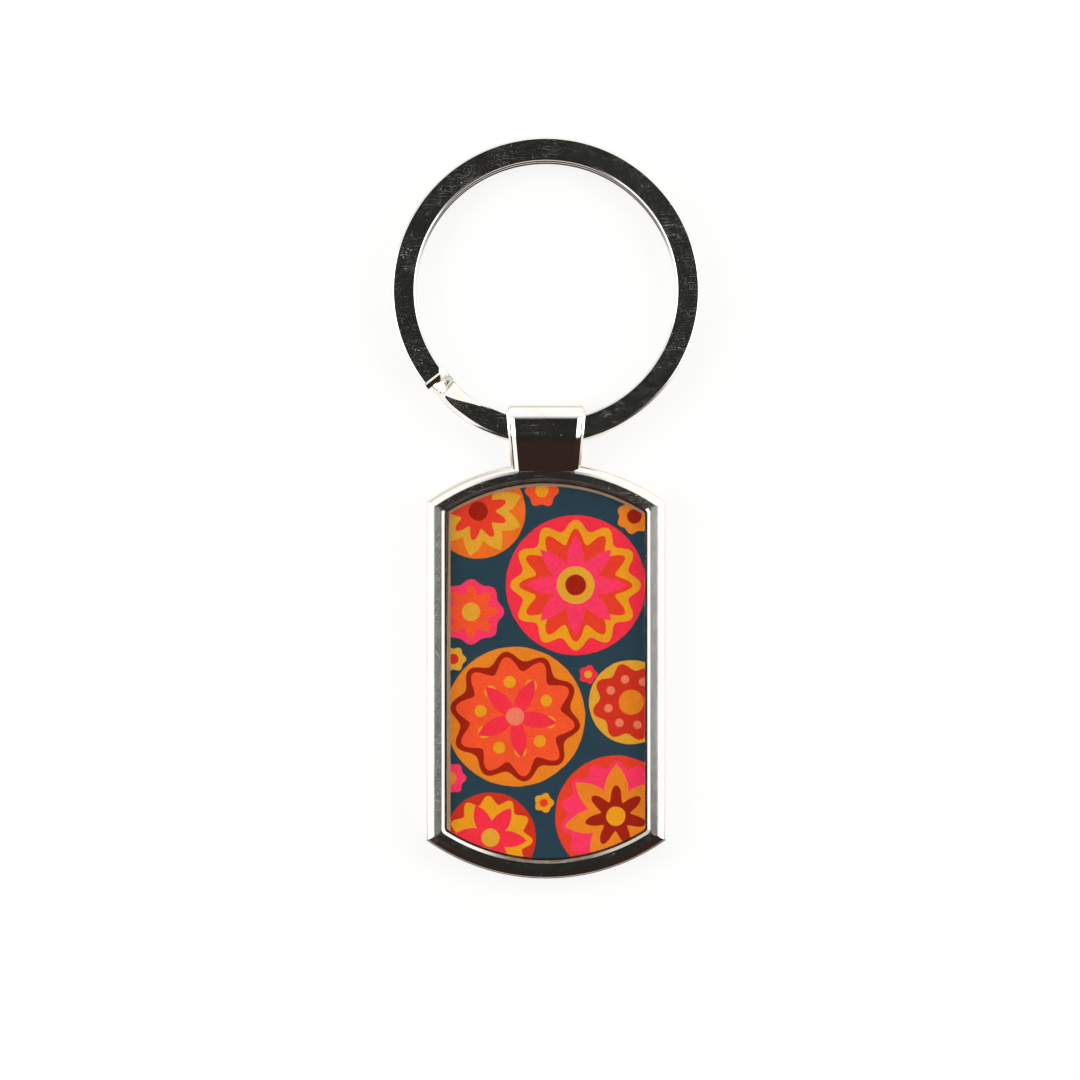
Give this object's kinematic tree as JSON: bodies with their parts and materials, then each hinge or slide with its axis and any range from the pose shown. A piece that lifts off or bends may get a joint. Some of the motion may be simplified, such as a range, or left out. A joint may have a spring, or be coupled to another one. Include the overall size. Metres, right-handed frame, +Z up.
{
  "type": "framed glass tile keyring",
  "caption": "Arch-ended cast metal case framing a clear glass tile over a printed card, with a bail that carries a flat-wire split ring.",
  "frame": {"origin": "centre of the case's flat back", "axes": "+Z up out of the tile's face, +Y along the case towards the split ring, +X to the right seen from the face"},
  "size_m": [0.03, 0.0722, 0.0058],
  "materials": {
    "case_chrome": "polished plating on a zinc casting",
    "adhesive": "thin pressure-sensitive film",
    "print": "printed card in reds, oranges and dark teal",
    "glass": "clear, polished",
    "ring_chrome": "polished plating on spring steel"
  },
  "bodies": {
    "fob": {"case": "case_chrome", "adhesive_pad": "adhesive", "printed_card": "print", "glass_tile": "glass"},
    "ring": {"split_ring": "ring_chrome"}
  },
  "joints": [
    {"name": "ring_swing", "type": "hinge", "parent": "fob", "child": "ring", "pos_m": [0, 0.02304, 0.00289], "axis": [1, 0, 0], "range_deg": [-130, 155]}
  ]
}
